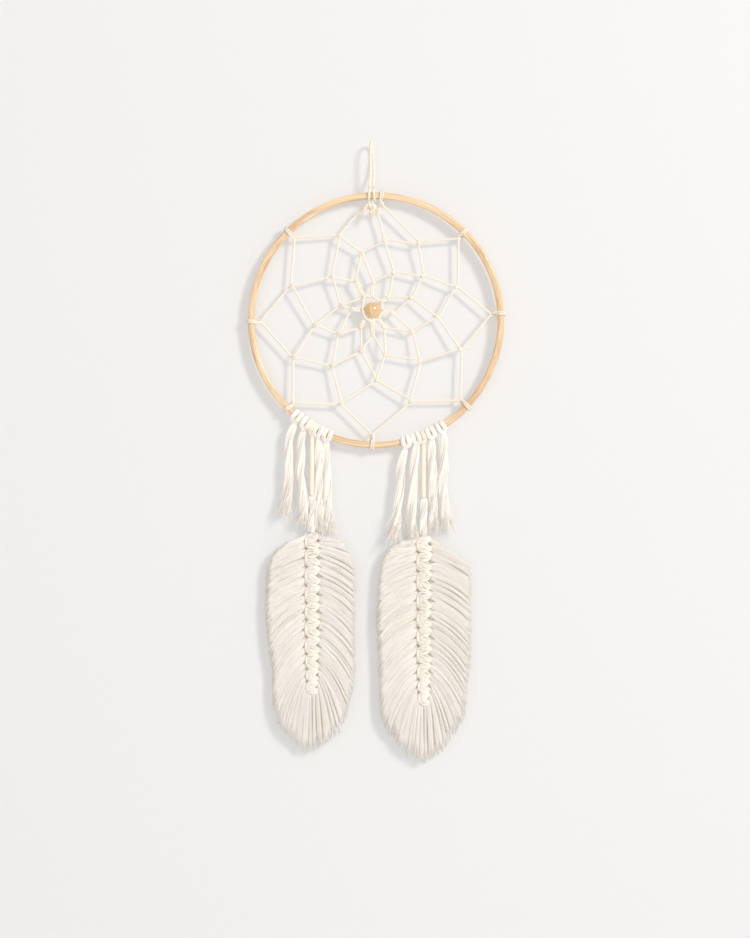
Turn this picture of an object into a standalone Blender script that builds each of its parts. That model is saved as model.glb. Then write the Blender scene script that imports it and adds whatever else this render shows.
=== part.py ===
"""Dream catcher: a round wooden hoop with a knotted cord web and a bead, a hanging loop above it, and below
it two groups of cut cotton strands, each with a knotted cotton feather on a cord in its middle.

The origin is the inside top of the hanging loop, where the hook bears. +Z is up and the front faces -Y.
"""

import math

import bmesh
import bpy
from mathutils import Matrix, Vector

MM = 0.001
GAP = 0.35 * MM  # left between faces that touch on the real object

# The hoop is bent from a rounded strip, and its middle line is a circle in the XZ plane.
HOOP_RADIUS = 97.4 * MM
HOOP_WIDTH = 5.2 * MM
HOOP_DEPTH = 5.6 * MM
HOOP_CENTRE = Vector((3.9, 0, -137.9)) * MM
HOOP_STEPS = 56

# The web is one thin cord, hitched round the hoop and then to itself, round after round.
WEB_CORD = 1.6 * MM
WEB_LAYER = 1.0 * MM  # a crossing's two strands lie this far in front of and behind the hoop's plane
WEB_BEND = 1.1 * MM  # the radius of the middle of the cord where it hitches round another
WRAP_RADIUS = HOOP_DEPTH / 2 + WEB_CORD / 2 + GAP
WRAP_PITCH = 2.2 * MM

BEAD_DIAMETER = 12.5 * MM
BEAD_BORE = 2.6 * MM
BEAD_CENTRE = HOOP_CENTRE + Vector((-2.7, -1.5, 8.0)) * MM

LOOP_CORD = 2.0 * MM
LOOP_X = 0.4 * MM
LOOP_SPREAD = 3.2 * MM  # between the loop's two strands where they reach the hoop
HITCH_RADIUS = HOOP_DEPTH / 2 + LOOP_CORD / 2 + GAP
HITCH_RISE = 5.6 * MM

# A fringe strand is a folded bundle of cotton: its head is a hitch round the hoop, and its tail hangs free.
HEAD_WIDTH = 5.8 * MM
HEAD_THICK = 1.8 * MM
HEAD_INNER = HOOP_DEPTH / 2 + GAP
TAIL_TOP = 5.2 * MM
TAIL_END = 4.6 * MM

# Each head's angle on the hoop, and the tail's points (along X, down) from the head's place on the hoop.
STRANDS = {
    "left_strand_1": (-129.5, [(-2.0, 6.2), (-5.3, 15.6), (-6.7, 37.3), (-6.0, 51.6), (-9.8, 75.8)]),
    "left_strand_2": (-124.2, [(-2.0, 6.2), (-3.5, 14.0), (-4.6, 32.4), (-3.5, 46.7), (-0.8, 78.8)]),
    "left_strand_3": (-117.8, [(0.6, 6.2), (0.9, 13.3), (0.9, 42.2), (0.9, 60.0), (1.2, 78.5)]),
    "left_strand_4": (-113.0, [(-0.8, 6.2), (-0.8, 14.0), (-0.4, 30.5), (0.4, 52.3), (1.6, 75.8)]),
    "right_strand_1": (-76.1, [(-1.0, 6.2), (-4.1, 22.3), (-5.5, 42.7), (-7.5, 63.0), (-10.4, 76.3)]),
    "right_strand_2": (-71.2, [(-0.2, 6.2), (-1.5, 24.2), (-2.9, 44.5), (-3.4, 64.8), (-2.9, 77.0)]),
    "right_strand_3": (-64.0, [(0.8, 6.2), (1.3, 14.0), (1.3, 27.7), (2.0, 48.0), (1.4, 74.6)]),
    "right_strand_4": (-58.7, [(1.8, 6.2), (2.6, 14.0), (2.3, 32.5), (1.6, 46.2), (4.8, 80.2)]),
}

HANGER_CORD = 3.4 * MM
HANGER_HITCH_WIDTH = 3.2 * MM
HANGER_DROP = 7.0 * MM  # from the hoop's middle line to the cord's free stretch, clear of the strands' heads
NECK_DIAMETER = 5.0 * MM
SPINE_DIAMETER = 3.4 * MM
FEATHER_THICK = 4.0 * MM
KNOT_WIDTH = 10.0 * MM
KNOT_DEPTH = 8.4 * MM
KNOT_SHARE = 0.7  # of its row's height at the spine
ROW_DROPS = (0.0, 13.7, 28.9, 43.6, 57.3, 71.0, 85.0, 97.7, 109.4, 117.3)  # mm from the first knot to each
ROW_GAP = 0.03  # of a row, left off each border
FIRST_ROW_SHARE = 0.21  # of the outline's length, which the first row takes

# For each feather: the angle of its hitch on the hoop, the heights of the hanger cord's end and of the first
# knot, the stretch of ROW_DROPS, and each edge's outline as (from the spine, below that knot), in mm.
FEATHERS = {
    "left": {
        "angle": -120.95,
        "hanger_end": -275.0,
        "first_knot": -309.2,
        "stretch": 0.972,
        "left_edge": [(3, -4), (19, 2), (31, 12), (36, 24), (36.6, 48), (36, 66), (34, 86), (31, 104),
                      (30.5, 132), (26, 145), (16, 156), (8, 163), (0, 165)],
        "right_edge": [(3, -4), (16, -1), (25, 3), (31, 11), (34, 22), (34.5, 43), (33.5, 70), (34, 100),
                       (32, 117), (27, 137), (23, 147), (14, 158), (0, 165)],
    },
    "right": {
        "angle": -67.6,
        "hanger_end": -276.6,
        "first_knot": -311.6,
        "stretch": 1.028,
        "left_edge": [(3, -4), (18, -1), (28, 5), (34.5, 18), (36.4, 38), (37.4, 62), (35.6, 90), (34.5, 116),
                      (34, 133), (28.5, 148), (17, 161), (6, 170), (0, 171)],
        "right_edge": [(3, -4), (16, 4), (29, 13), (37, 20), (37.6, 34), (37.4, 60), (37, 80), (36.8, 96),
                       (34, 115), (32, 137), (23, 150), (13, 164), (0, 171)],
    },
}

# The web's hitches in the hoop's plane, in mm from the hoop's centre. Each hitch ties round the middle of a
# stretch of the round before, which bends inwards there.
HOOP_HITCHES = [  # angle on the hoop, and how far inside its middle line the two strands meet
    (87.2, 7.0), (44.8, 7.1), (3.0, 7.9), (-43.4, 7.0), (-91.9, 8.7), (-135.3, 6.6), (-179.6, 7.5),
    (134.5, 7.3), (96.2, 6.0),
]
WEB_START = (1.5, 83.0)
WEB_ROUNDS = [
    [(34, 61.5), (64, 26.5), (67, -23), (27.5, -63.5), (-27.5, -66), (-65, -29.5), (-67, 27), (-29, 67)],
    [(6.5, 64), (37.5, 35.5), (49, 2.5), (35, -32), (0.5, -47), (-34.5, -36), (-48.5, -4), (-35, 34.5)],
    [(-11.5, 53.5), (14, 38.5), (28.5, 18), (29, -9), (7, -27.5), (-11.5, -24.5), (-30, -11), (-28, 12)],
    [(-16.5, 31), (-2, 31), (10.5, 19), (14, 5.5), (7, -6), (-2.5, -11.5), (-12, -6), (-20, 9)],
    [(-10.5, 19), (-3, 19.5), (5.5, 14.5), (6, 6.5), (1.5, 0.5), (-3, -1), (-11, 2)],
]


def clear_scene():
    for o in list(bpy.data.objects):
        bpy.data.objects.remove(o, do_unlink=True)


def material(name, colour, roughness):
    made = bpy.data.materials.new(name)
    made.use_nodes = True
    shader = made.node_tree.nodes["Principled BSDF"]
    shader.inputs["Base Color"].default_value = (*colour, 1)
    shader.inputs["Roughness"].default_value = roughness
    shader.inputs["Metallic"].default_value = 0
    made.diffuse_color = (*colour, 1)
    return made


def pivot(name, place, parent=None):
    """An empty on a joint's axis. What moves at the joint hangs from it."""
    empty = bpy.data.objects.new(name, None)
    bpy.context.scene.collection.objects.link(empty)
    empty.empty_display_size = 10 * MM
    empty["place"] = place
    empty.parent = parent
    empty.location = place - (Vector(parent["place"]) if parent else Vector())
    return empty


def add(name, data, parent, mat):
    """An object whose data is in the object's own frame, moved so that its origin is its parent's."""
    o = bpy.data.objects.new(name, data)
    bpy.context.scene.collection.objects.link(o)
    data.materials.append(mat)
    data.transform(Matrix.Translation(-Vector(parent["place"])))
    o.parent = parent
    return o


def smooth(mesh, angle=40):
    mesh.shade_smooth()
    mesh.set_sharp_from_angle(angle=math.radians(angle))
    return mesh


def tube(name, points, diameters, sides=8):
    """A round cord along points. diameters is one number, or one for each point."""
    curve = bpy.data.curves.new(name, "CURVE")
    curve.dimensions = "3D"
    curve.bevel_resolution = (sides - 4) // 2
    curve.use_fill_caps = True
    spline = curve.splines.new("POLY")
    spline.points.add(len(points) - 1)
    if not isinstance(diameters, (list, tuple)):
        diameters = [diameters] * len(points)
    curve.bevel_depth = max(diameters) / 2
    for target, point, diameter in zip(spline.points, points, diameters):
        target.co = (*point, 1)
        target.radius = diameter / max(diameters)
    spline.use_smooth = True
    return curve


def through(points, per_span):
    """Points along a smooth curve through the given ones (Catmull-Rom)."""
    ends = [2 * points[0] - points[1], *points, 2 * points[-1] - points[-2]]
    found = []
    for a, b, c, d in zip(ends, ends[1:], ends[2:], ends[3:]):
        for i in range(per_span):
            t = i / per_span
            bend = (2 * a - 5 * b + 4 * c - d) * t**2 + (3 * b - a - 3 * c + d) * t**3
            found.append(b + ((c - a) * t + bend) / 2)
    return [*found, points[-1]]


def rounded(before, corner, after, radius):
    """Points of a round bend of a radius that turns from one leg to the other and just reaches the corner."""
    to_before, to_after = (before - corner).normalized(), (after - corner).normalized()
    inwards = (to_before + to_after).normalized()
    half = to_before.angle(to_after) / 2
    tip = corner - inwards * (radius / math.sin(half) - radius)
    to_before, to_after = (before - tip).normalized(), (after - tip).normalized()
    run = radius / math.tan(half)
    ends = [tip + to_before * run, tip + to_after * run]
    return [ends[0], corner, ends[1]] if half < math.radians(60) else ends


def on_hoop(angle_deg):
    """A point on the hoop's middle line, the direction to the hoop's centre, and the clockwise direction."""
    a = math.radians(angle_deg)
    out = Vector((math.cos(a), 0, math.sin(a)))
    return HOOP_CENTRE + HOOP_RADIUS * out, -out, Vector((math.sin(a), 0, -math.cos(a)))


def hoop_mesh():
    bpy.ops.mesh.primitive_torus_add(
        major_radius=HOOP_RADIUS, minor_radius=HOOP_WIDTH / 2, major_segments=HOOP_STEPS, minor_segments=8
    )
    ring = bpy.context.object
    mesh = ring.data.copy()
    bpy.data.objects.remove(ring)
    deepen = Matrix.Diagonal((1, 1, HOOP_DEPTH / HOOP_WIDTH, 1))
    mesh.transform(Matrix.Translation(HOOP_CENTRE) @ Matrix.Rotation(math.radians(90), 4, "X") @ deepen)
    return smooth(mesh)


def hoop_wrap(angle_deg, inside):
    """The cord from the meeting point inside the hoop, once round the hoop over its front, and back."""
    place, inwards, clockwise = on_hoop(angle_deg)
    route = [place + inwards * inside - clockwise * WRAP_PITCH / 2]
    turn = range(60, 301, 40)
    for i, degrees in enumerate(turn):
        a = math.radians(degrees)
        around = inwards * math.cos(a) + Vector((0, -1, 0)) * math.sin(a)
        along = WRAP_PITCH * (i / (len(turn) - 1) - 0.5)
        route.append(place + around * WRAP_RADIUS + clockwise * along)
    return [*route, place + inwards * inside + clockwise * WRAP_PITCH / 2]


def web_route():
    """The web's cord from its first hitch, round the hoop, then inwards by rounds, and through the bead."""

    def at(xz, layer):
        return HOOP_CENTRE + Vector((xz[0] * MM, layer * WEB_LAYER, xz[1] * MM))

    route, wraps = [], [hoop_wrap(angle, inside * MM) for angle, inside in HOOP_HITCHES]
    for wrap, after, pulled in zip(wraps, wraps[1:], WEB_ROUNDS[0]):
        route += [*wrap, *rounded(wrap[-1], at(pulled, 1), after[0], WEB_BEND)]
    route += wraps[-1]
    corners = [wraps[-1][-1], at(WEB_START, 0)]
    for outer, inner in zip(WEB_ROUNDS, WEB_ROUNDS[1:]):
        for pulled, hitch in zip(inner, outer):
            corners += [at(pulled, 1), at(hitch, -1)]
    corners.append(at(WEB_ROUNDS[3][7], -1))
    under = BEAD_CENTRE - Vector((0, 0, BEAD_DIAMETER / 2 + 2.6 * MM))
    above = BEAD_CENTRE + Vector((0, 0, BEAD_DIAMETER / 2 + 1.5 * MM))
    corners += [at((-12.5, 5.5), -2.5), at((-8.0, 0.5), -2.5), under, above]
    for before, corner, after in zip(corners, corners[1:], corners[2:]):
        route += rounded(before, corner, after, WEB_BEND)
    return [*route, above]


def bead_mesh():
    """A round bead turned on its bore, which is upright."""
    edge = math.asin(BEAD_BORE / BEAD_DIAMETER)
    steps, mesh = 8, bmesh.new()
    profile = []
    for i in range(steps + 1):
        a = edge + (math.pi - 2 * edge) * i / steps
        profile.append(Vector((math.sin(a), 0, math.cos(a))) * BEAD_DIAMETER / 2)
    ring = [mesh.verts.new(p) for p in profile]
    edges = [mesh.edges.new(pair) for pair in zip(ring, [*ring[1:], ring[0]])]
    bmesh.ops.spin(
        mesh, geom=ring + edges, cent=(0, 0, 0), axis=(0, 0, 1), angle=math.tau, steps=18, use_merge=True
    )
    bmesh.ops.remove_doubles(mesh, verts=mesh.verts, dist=0.01 * MM)
    bmesh.ops.recalc_face_normals(mesh, faces=mesh.faces)
    bmesh.ops.translate(mesh, verts=mesh.verts, vec=BEAD_CENTRE)
    return finished(mesh, "centre_bead")


def finished(mesh, name):
    data = bpy.data.meshes.new(name)
    mesh.to_mesh(data)
    mesh.free()
    return smooth(data)


def loop_route():
    """The hanging loop, from its left strand over the hook to its right strand. Its plane is turned to Y."""
    low = HOOP_CENTRE.z + HOOP_RADIUS + HITCH_RISE + GAP
    half = LOOP_SPREAD / 2
    front = -HITCH_RADIUS
    left = [(-half, front, low), (-half, front, low + 5 * MM)]
    left += [(x * MM, y * MM, z * MM) for x, y, z in ((-1.4, -4.8, -24), (-1.2, -5.2, -13), (-0.9, -4.9, -5))]
    top = [(x * MM, y * MM, z * MM) for x, y, z in ((-0.4, -3.2, -0.2), (0, 0, 1.05), (0.4, 3.2, -0.2))]
    right = [(x * MM, y * MM, z * MM) for x, y, z in ((0.9, 4.9, -5), (1.4, 4.2, -13), (1.8, 0.6, -24))]
    right += [(half, front + 0.6 * MM, low + 5 * MM), (half, front, low)]
    return [Vector(p) + Vector((LOOP_X, 0, 0)) for p in [*left, *top, *right]]


def hitch_route():
    """The loop's hitch: down the hoop's front, under and behind it, across, and back the same way."""
    centre = HOOP_CENTRE + Vector((0, 0, HOOP_RADIUS))
    centre.x = LOOP_X
    half = LOOP_SPREAD / 2
    route = []
    for x, turn in ((-half, range(180, 421, 30)), (half, range(420, 179, -30))):
        for degrees in turn:
            a = math.radians(degrees)
            route.append(centre + Vector((x, HITCH_RADIUS * math.cos(a), HITCH_RADIUS * math.sin(a))))
    top = Vector((0, 0, HITCH_RISE))
    first = Vector((centre.x - half, -HITCH_RADIUS, centre.z))
    last = Vector((centre.x + half, -HITCH_RADIUS, centre.z))
    return [first + top, first + top / 2, *route, last + top / 2, last + top]


def knot_route():
    """The overhand knot under the hitch with its two cut tails, as (X, Y, below the hoop's middle line)."""
    knot = [(-5.4, -5.2, 14.2), (-4.4, -5.4, 11.6), (-2.9, -5.7, 8.9), (-1.6, -5.7, 7.6), (1.5, -5.7, 7.6),
            (2.5, -5.7, 9.2), (1.2, -5.6, 11.6), (-0.2, -5.3, 13.2), (-0.9, -5.2, 15.2)]
    diameters = [1.0, 1.2, 1.8, 2.6, 2.6, 2.2, 1.5, 1.3, 1.0]
    top = HOOP_CENTRE.z + HOOP_RADIUS
    return [Vector((LOOP_X + x * MM, y * MM, top - z * MM)) for x, y, z in knot], [d * MM for d in diameters]


def sleeve_mesh(name, angle_deg, inner, thick, width, round_steps=10):
    """A hitch's closed turn round the hoop: a short sleeve with rounded edges, on the hoop's middle line."""
    place, inwards, clockwise = on_hoop(angle_deg)
    edge = thick * 0.35
    profile = [(inner, -width / 2), (inner + edge, -width / 2), (inner + thick, edge - width / 2),
               (inner + thick, width / 2 - edge), (inner + edge, width / 2), (inner, width / 2)]
    mesh, front = bmesh.new(), Vector((0, -1, 0))
    ring = [mesh.verts.new(place + inwards * r + clockwise * along) for r, along in profile]
    edges = [mesh.edges.new(pair) for pair in zip(ring, [*ring[1:], ring[0]])]
    bmesh.ops.spin(
        mesh, geom=ring + edges, cent=place, axis=inwards.cross(front), angle=math.tau, steps=round_steps,
        use_merge=True,
    )
    bmesh.ops.remove_doubles(mesh, verts=mesh.verts, dist=0.01 * MM)
    bmesh.ops.recalc_face_normals(mesh, faces=mesh.faces)
    return finished(mesh, name)


def tail_points(angle_deg, drops):
    place = on_hoop(angle_deg)[0]
    return through([place + Vector((x, 0, -down)) * MM for x, down in drops], 2)


def along_outline(edge, share):
    """The point at a share of an outline's length."""
    points = [Vector(p) for p in edge]
    lengths = [(b - a).length for a, b in zip(points, points[1:])]
    left = share * sum(lengths)
    for a, b, length in zip(points, points[1:], lengths):
        if left <= length:
            return a.lerp(b, left / length)
        left -= length
    return points[-1]


class FeatherSide:
    """One side of a feather, as (outwards, down) in mm from the first knot."""

    def __init__(self, edge, knots):
        self.edge = edge
        middles = [(a + b) / 2 for a, b in zip(knots, knots[1:])]
        self.spine = [knots[0] - 5.0, *middles, knots[-1] + 6.0]
        rest = (1 - FIRST_ROW_SHARE) / (len(knots) - 1)
        self.shares = [0, *[FIRST_ROW_SHARE + rest * i for i in range(len(knots))]]

    def border(self, row):
        """The line between two rows: level across the knot, then curving down to the outline. row may lie
        between whole numbers."""
        whole = min(int(row), len(self.spine) - 2)
        part = row - whole
        start = self.spine[whole] * (1 - part) + self.spine[whole + 1] * part
        share = self.shares[whole] * (1 - part) + self.shares[whole + 1] * part
        level = 0 if row > len(self.spine) - 1.5 else KNOT_WIDTH / 2 / MM
        a, c = Vector((level, start)), along_outline(self.edge, share)
        b = Vector((a.x + 0.55 * (c.x - a.x), a.y + 0.22 * (c.y - a.y)))
        curve = [a.lerp(b, t).lerp(b.lerp(c, t), t) for t in (0, 0.4, 0.75, 1)]
        return [Vector((0, start)), *curve] if level else curve, share

    def blade(self, row, gap):
        """The outline of one row: along its upper border, down the feather's edge, and back."""
        upper, high = self.border(row + gap)
        lower, low = self.border(row + 1 - gap)
        between = [along_outline(self.edge, high + (low - high) * t) for t in (0.33, 0.67)]
        return [*upper, *between, *reversed(lower)]


def prism(points, front, back):
    """A closed solid of an outline in the XZ plane, between two depths."""
    mesh = bmesh.new()
    face = mesh.faces.new([mesh.verts.new((x, front, z)) for x, z in points])
    bmesh.ops.triangulate(mesh, faces=[face])
    pushed = bmesh.ops.extrude_face_region(mesh, geom=mesh.faces[:])["geom"]
    bmesh.ops.translate(mesh, verts=[v for v in pushed if isinstance(v, bmesh.types.BMVert)],
                        vec=(0, back - front, 0))
    bmesh.ops.recalc_face_normals(mesh, faces=mesh.faces)
    return finished(mesh, "prism")


def knot_mesh(x, z, height):
    """The knot's body, a barrel across the spine."""
    mesh = bmesh.new()
    bmesh.ops.create_uvsphere(mesh, u_segments=8, v_segments=4, radius=0.5)
    size = Matrix.Diagonal((KNOT_WIDTH, KNOT_DEPTH, height, 1))
    bmesh.ops.transform(mesh, matrix=Matrix.Translation((x, 0, z)) @ size, verts=mesh.verts)
    return finished(mesh, "knot")


def channel_mesh(x, top, bottom):
    """The way through the rows' knots for the spine cord."""
    mesh = bmesh.new()
    bmesh.ops.create_cone(mesh, cap_ends=True, segments=8, radius1=SPINE_DIAMETER / 2 + GAP,
                          radius2=SPINE_DIAMETER / 2 + GAP, depth=top - bottom)
    bmesh.ops.translate(mesh, verts=mesh.verts, vec=(x, 0, (top + bottom) / 2))
    return finished(mesh, "channel")


def boolean(target, tool, operation):
    """The target's mesh joined with the tool's, or cut by it."""
    objects = []
    for mesh in (target, tool):
        o = bpy.data.objects.new("boolean", mesh)
        bpy.context.scene.collection.objects.link(o)
        objects.append(o)
    step = objects[0].modifiers.new("boolean", "BOOLEAN")
    step.operation = operation
    step.solver = "MANIFOLD"  # EXACT leaves open edges where a blade's border meets its knot
    step.object = objects[1]
    evaluated = objects[0].evaluated_get(bpy.context.evaluated_depsgraph_get())
    result = bpy.data.meshes.new_from_object(evaluated)
    for o in objects:
        bpy.data.objects.remove(o)
    return result


def row_mesh(sides, row, x, top, knot_z, knot_height, channel):
    """One row of a feather: a cord combed out to the left and to the right, with its knot on the spine."""
    left, right = (
        [(x + sign * p.x * MM, top - p.y * MM) for p in side.blade(row, ROW_GAP)]
        for side, sign in zip(sides, (-1, 1))
    )
    whole = [*left, *reversed(right[1:-1])]
    blade = prism(whole, -FEATHER_THICK / 2, FEATHER_THICK / 2)
    solid = boolean(blade, knot_mesh(x, knot_z, knot_height), "UNION")
    return smooth(boolean(solid, channel, "DIFFERENCE"))


def add_feather(name, facts, hoop_pivot, hanger_mat, cotton_mat):
    """A feather's hitch, hanger cord, soft neck, spine cord and rows, on its two joints."""
    place = on_hoop(facts["angle"])[0]
    x, end = place.x, facts["hanger_end"] * MM
    hitch = sleeve_mesh("hitch", facts["angle"], HEAD_INNER, HEAD_THICK, HANGER_HITCH_WIDTH)
    add(f"{name}_feather_hitch", hitch, hoop_pivot, hanger_mat)
    swing = pivot(f"{name}_feather_swing_axis", place, hoop_pivot)
    start = place.z - HANGER_DROP
    steps = [Vector((x, 0, start + (end - start) * i / 6)) for i in range(7)]
    add(f"{name}_hanger_cord", tube("hanger", steps, HANGER_CORD), swing, hanger_mat)

    twist = pivot(f"{name}_feather_twist_axis", Vector((x, 0, end)), swing)
    top = facts["first_knot"] * MM
    knots = [drop * facts["stretch"] for drop in ROW_DROPS]
    sides = [FeatherSide(facts["left_edge"], knots), FeatherSide(facts["right_edge"], knots)]
    neck_top, spine_top = end - GAP, top + 5.4 * MM
    neck = [Vector((x, 0, neck_top + (spine_top - neck_top) * i / 5)) for i in range(6)]
    widths = [NECK_DIAMETER * share for share in (0.66, 0.95, 1.0, 1.0, 0.9, 0.7)]
    add(f"{name}_feather_neck", tube("neck", neck, widths), twist, cotton_mat)
    bottom = top - (knots[-1] + 9.0) * MM
    spine = [Vector((x, 0, z)) for z in (spine_top - GAP, (spine_top + bottom) / 2, bottom)]
    add(f"{name}_spine_cord", tube("spine", spine, SPINE_DIAMETER), twist, cotton_mat)
    for row in range(len(knots)):
        room = sides[0].spine[row + 1] - sides[0].spine[row]
        middle = top - (sides[0].spine[row] + room / 2) * MM
        channel = channel_mesh(x, spine_top + 5 * MM, bottom - 3 * MM)
        mesh = row_mesh(sides, row, x, top, middle, KNOT_SHARE * room * MM, channel)
        add(f"{name}_feather_row_{row + 1:02d}", mesh, twist, cotton_mat)


def main():
    clear_scene()
    hoop_wood = material("hoop_wood", (0.86, 0.60, 0.36), 0.5)
    bead_wood = material("bead_wood", (0.78, 0.50, 0.22), 0.25)
    web_cotton = material("web_cotton", (0.93, 0.86, 0.74), 0.8)
    fringe_cotton = material("fringe_cotton", (0.92, 0.89, 0.83), 0.95)
    feather_cotton = material("feather_cotton", (0.90, 0.85, 0.78), 0.95)
    hanger_cotton = material("hanger_cotton", (0.93, 0.86, 0.75), 0.7)

    hook = pivot("hang_point", Vector())
    add("hanging_loop", tube("loop", through(loop_route(), 2), LOOP_CORD), hook, hanger_cotton)
    twist = pivot("hoop_twist_axis", Vector((LOOP_X, -HITCH_RADIUS, HOOP_CENTRE.z + HOOP_RADIUS)), hook)
    add("loop_hitch", tube("hitch", hitch_route(), LOOP_CORD), twist, hanger_cotton)
    knot, diameters = knot_route()
    add("loop_knot", tube("knot", knot, diameters), twist, hanger_cotton)

    swing = pivot("hoop_swing_axis", HOOP_CENTRE + Vector((0, 0, HOOP_RADIUS)), twist)
    add("hoop", hoop_mesh(), swing, hoop_wood)
    add("web_cord", tube("web", web_route(), WEB_CORD, 6), swing, web_cotton)
    spin = pivot("bead_spin_axis", BEAD_CENTRE, swing)
    add("centre_bead", bead_mesh(), spin, bead_wood)

    for name, (angle, drops) in STRANDS.items():
        head = sleeve_mesh("head", angle, HEAD_INNER, HEAD_THICK, HEAD_WIDTH)
        add(f"{name}_head", head, swing, fringe_cotton)
        tail_swing = pivot(f"{name}_swing_axis", on_hoop(angle)[0], swing)
        points = tail_points(angle, drops)
        narrowing = [TAIL_TOP + (TAIL_END - TAIL_TOP) * i / (len(points) - 1) for i in range(len(points))]
        add(f"{name}_tail", tube("tail", points, narrowing), tail_swing, fringe_cotton)
    for name, facts in FEATHERS.items():
        add_feather(name, facts, swing, hanger_cotton, feather_cotton)


main()
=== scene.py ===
"""Looks of a dream catcher: a bent wooden hoop with a knotted cord web and a bead, a hanging loop, eight cotton
strands and two knotted cotton feathers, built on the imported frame. It is laid out as an add-on and run as a script.

All sizes are metres in the frame's own axes: +Z up, the front faces -Y, the origin is inside the loop's top.
"""

import math

import bpy
import numpy as np
from bpy.props import FloatProperty, FloatVectorProperty, IntProperty, PointerProperty
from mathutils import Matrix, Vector


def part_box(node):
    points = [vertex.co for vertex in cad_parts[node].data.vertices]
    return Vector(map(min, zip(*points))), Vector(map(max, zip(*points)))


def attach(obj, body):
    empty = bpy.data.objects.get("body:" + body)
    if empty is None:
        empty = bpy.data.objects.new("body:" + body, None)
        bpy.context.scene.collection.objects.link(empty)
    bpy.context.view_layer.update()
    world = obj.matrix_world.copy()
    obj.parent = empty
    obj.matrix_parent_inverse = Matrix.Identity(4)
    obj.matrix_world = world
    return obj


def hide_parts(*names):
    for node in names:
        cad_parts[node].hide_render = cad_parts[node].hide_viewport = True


bl_info = {
    "name": "Dream catcher",
    "version": (1, 0, 0),
    "blender": (4, 5, 0),
    "location": "3D View > Sidebar > Dream catcher",
    "description": "Models a dream catcher's hoop, web, bead, fringe and cotton feathers on its frame",
    "category": "Object",
}

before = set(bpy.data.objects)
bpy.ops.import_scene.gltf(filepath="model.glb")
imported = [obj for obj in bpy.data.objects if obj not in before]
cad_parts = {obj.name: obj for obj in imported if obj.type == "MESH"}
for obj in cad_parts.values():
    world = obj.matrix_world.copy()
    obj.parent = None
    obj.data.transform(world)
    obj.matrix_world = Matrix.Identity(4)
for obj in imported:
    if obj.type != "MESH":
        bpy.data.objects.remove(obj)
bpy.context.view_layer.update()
MM = 0.001

HOOP_LOW, HOOP_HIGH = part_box("hoop")
HOOP_CENTRE = np.array((HOOP_LOW + HOOP_HIGH) / 2)
HOOP_DEPTH = HOOP_HIGH.y - HOOP_LOW.y
HOOP_WIDTH = 5.2 * MM
HOOP_RADIUS = (HOOP_HIGH.x - HOOP_LOW.x - HOOP_WIDTH) / 2
BEAD_LOW, BEAD_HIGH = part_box("centre_bead")
BEAD_CENTRE = np.array((BEAD_LOW + BEAD_HIGH) / 2)
BEAD_DIAMETER = BEAD_HIGH.x - BEAD_LOW.x
BEAD_BORE = 2.6 * MM
FRONT = np.array((0.0, -1.0, 0.0))
UP = np.array((0.0, 0.0, 1.0))

WEB_LAYER = 1.0 * MM
WEB_BEND = 1.1 * MM
WRAP_RADIUS = 3.75 * MM
WRAP_SPREAD = 2.7 * MM  # between a wrap's first and last strand, along the hoop
HOOP_HITCHES = [  # angle on the hoop, and how far inside its middle line the two strands meet
    (87.2, 7.0), (44.8, 7.1), (3.0, 7.9), (-43.4, 7.0), (-91.9, 8.7), (-135.3, 6.6), (-179.6, 7.5),
    (134.5, 7.3),
]
WEB_TURN = (-9.0, 89.3)  # behind the loop's knot, where the first round ends
WEB_START = (1.5, 83.0)
WEB_ROUNDS = [  # mm from the hoop's centre, along X and Z
    [(34, 61.5), (64, 26.5), (67, -23), (27.5, -63.5), (-27.5, -66), (-65, -29.5), (-67, 27), (-29, 67)],
    [(6.5, 64), (37.5, 35.5), (49, 2.5), (35, -32), (0.5, -47), (-34.5, -36), (-48.5, -4), (-35, 34.5)],
    [(-11.5, 53.5), (14, 38.5), (28.5, 18), (29, -9), (7, -27.5), (-11.5, -24.5), (-30, -11), (-28, 12)],
    [(-16.5, 31), (-2, 31), (10.5, 19), (14, 5.5), (7, -6), (-2.5, -11.5), (-12, -6), (-20, 9)],
    [(-10.5, 19), (-3, 19.5), (5.5, 14.5), (6, 6.5), (1.5, 0.5), (-3, -1), (-11, 2)],
]
BEAD_RING = [(-9.2, 18.6), (-3.4, 18.4), (3.8, 14.2), (4.9, 7.4), (1.7, 1.4), (-2.8, -0.1), (-8.4, 1.7),
             (-10.3, 7.4)]  # where the last round's doubled spokes meet the small ring round the bead
HITCH_RUN = 2.8 * MM  # how far a hitch's two strands run side by side
HITCH_BEND = 0.8 * MM
SPOKE_SIDE = 0.85 * MM  # half the gap between a doubled spoke's strands
WEB_PITCH = 4.6 * MM
WEB_POINT_GAP = 0.6 * MM
TIE_TURNS = 1.2

LOOP_CORD = 2.0 * MM
LOOP_CORD_SHAPE = {"sides": 10, "lobes": 2, "lobe_depth": 0.10, "pitch": 9 * MM}
LOOP_X = 0.4 * MM
LOOP_SPREAD = 3.2 * MM
HITCH_RADIUS = HOOP_DEPTH / 2 + LOOP_CORD / 2 + 0.35 * MM
HITCH_RISE = 5.6 * MM
GAP = 0.35 * MM
KNOT_ROUTE = [(-6.4, -5.0, 13.4), (-5.6, -5.3, 11.2), (-4.2, -5.7, 9.0), (-2.2, -5.8, 8.1), (1.2, -5.8, 8.2),
              (2.8, -5.7, 9.6), (1.7, -5.6, 11.5), (0.0, -5.3, 12.6), (-0.8, -5.2, 14.4)]
KNOT_WIDTHS = [1.3, 1.6, 2.4, 3.1, 3.1, 2.6, 2.1, 1.8, 1.6]
KNOT_OVER = [(-1.9, -4.6, 5.2), (-1.9, -6.3, 6.6), (-1.4, -7.0, 8.2), (-0.7, -6.3, 9.6), (-0.3, -5.2, 10.4)]
KNOT_PITCH = 7 * MM

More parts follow.
